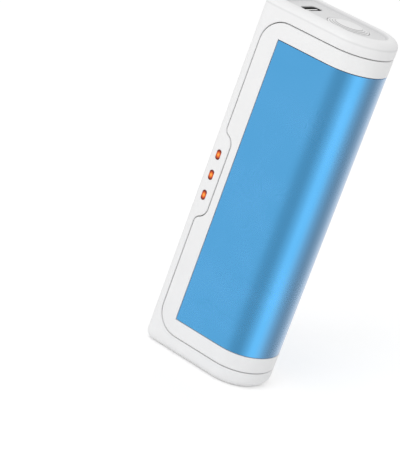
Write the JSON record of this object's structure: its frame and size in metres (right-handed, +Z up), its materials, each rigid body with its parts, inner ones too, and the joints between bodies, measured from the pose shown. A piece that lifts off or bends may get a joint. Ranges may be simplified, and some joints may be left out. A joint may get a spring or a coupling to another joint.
{
  "type": "rechargeable hand warmer",
  "caption": "Pocket-sized rechargeable hand warmer: white frame and shell, wrap-round aluminium heat panel, top button, charging port and side light windows.",
  "frame": {"origin": "middle of the box round the body, on the surface that it stands on", "axes": "+Z up along the body to the deck with the button and port, +X from the flat spine to the round nose, -Y out of the flank with the amber heat level windows"},
  "size_m": [0.038, 0.0254, 0.111],
  "materials": {
    "frame_plastic": "satin white moulded plastic",
    "shell_plastic": "satin white moulded plastic",
    "button_plastic": "satin white moulded plastic",
    "panel_aluminium": "fine blasted, blue anodised",
    "heater_polyimide": "amber film",
    "felt": "needled felt",
    "black_plastic": "black moulded plastic",
    "grey_rubber": "grey silicone",
    "circuit_board": "green solder mask",
    "steel": "drawn steel",
    "gilt_contact": "gold plated",
    "nickel": "nickel strip",
    "chassis_plastic": "dark moulded plastic",
    "ceramic_body": "fired ceramic",
    "ferrite": "moulded ferrite",
    "white_plastic": "white moulded plastic",
    "amber_window": "clear amber plastic, lit from behind",
    "grey_window": "smoked clear plastic, unlit",
    "sleeve_film": "shrunk film",
    "tape": "adhesive tape",
    "foam": "closed-cell foam"
  },
  "bodies": {
    "casing": {"outer_frame": "frame_plastic", "front_shell": "shell_plastic", "heat_panel": "panel_aluminium", "heater_film": "heater_polyimide", "insulating_felt": "felt", "thermistor": "black_plastic", "base_plate": "grey_rubber", "switch_base": "black_plastic", "switch_cover": "steel", "top_board": "circuit_board", "usb_shell": "steel", "usb_tongue": "black_plastic", "usb_contacts": "gilt_contact", "chassis": "chassis_plastic", "main_board": "circuit_board", "power_chips": "black_plastic", "inductor": "ferrite", "capacitors": "ceramic_body", "heater_socket": "white_plastic", "board_ribbon": "heater_polyimide", "heat_leds": "white_plastic", "charge_leds": "white_plastic", "heat_window_bar": "amber_window", "charge_window_bar": "grey_window", "cell_can": "steel", "cell_sleeve": "sleeve_film", "cell_ring": "white_plastic", "tab_positive": "nickel", "tab_negative": "nickel", "foam_pads": "foam", "cell_straps": "tape", "chassis_screws": "steel", "board_screws": "steel", "top_board_screws": "steel", "base_screws": "steel"},
    "button": {"button_cap": "button_plastic"},
    "plunger": {"switch_plunger": "black_plastic"}
  },
  "joints": [
    {"name": "button_press", "type": "slide", "parent": "casing", "child": "button", "axis": [0, 0, -1], "range_m": [0, 0.0004], "stiffness_N_per_m": 3000, "springref_m": -0.0002},
    {"name": "switch_press", "type": "slide", "parent": "casing", "child": "plunger", "axis": [0, 0, -1], "range_m": [0, 0.0004]}
  ],
  "couplings": [
    {"joint": "switch_press", "follows": "button_press", "ratio": 1}
  ]
}
